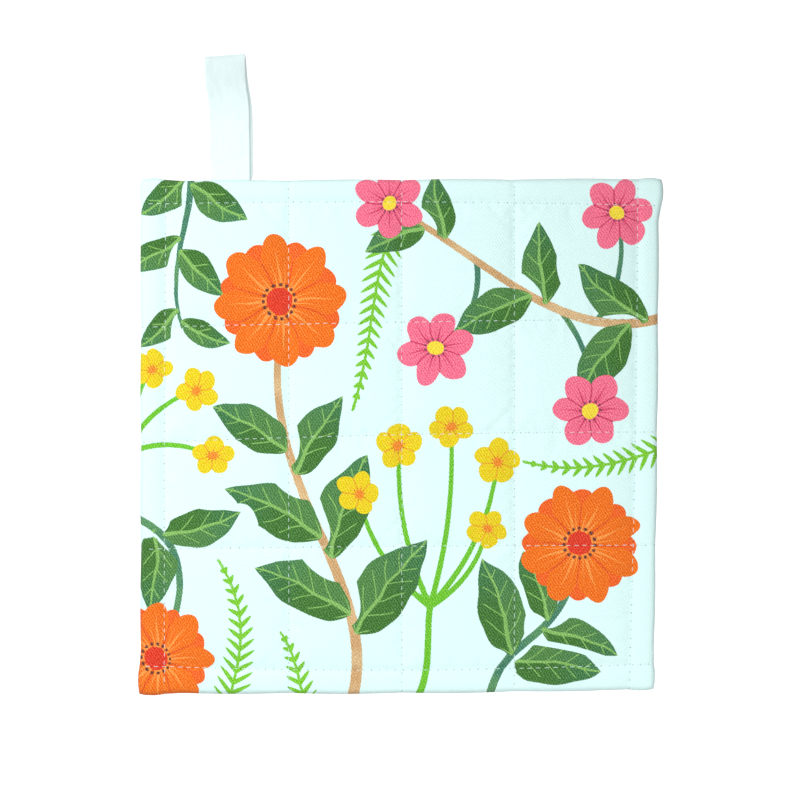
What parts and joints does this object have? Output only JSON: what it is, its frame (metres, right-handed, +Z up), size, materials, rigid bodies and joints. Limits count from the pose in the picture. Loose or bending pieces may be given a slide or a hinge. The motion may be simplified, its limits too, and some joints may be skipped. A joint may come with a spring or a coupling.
{
  "type": "quilted pot holder",
  "caption": "Square quilted pot holder of printed cotton with puffed squares between sewn lines and a folded tape loop near one corner for hanging.",
  "frame": {"origin": "on the table, under the middle of the box round the pad and its loop", "axes": "+Z up out of the printed face, +Y towards the edge that carries the loop, +X to the right of the face"},
  "size_m": [0.2042, 0.2482, 0.0074],
  "materials": {
    "printed_cloth": "matt printed cotton twill",
    "tape": "matt woven cotton tape"
  },
  "bodies": {
    "root": {"quilted_pad": "printed_cloth", "hanging_loop": "tape"}
  },
  "joints": []
}
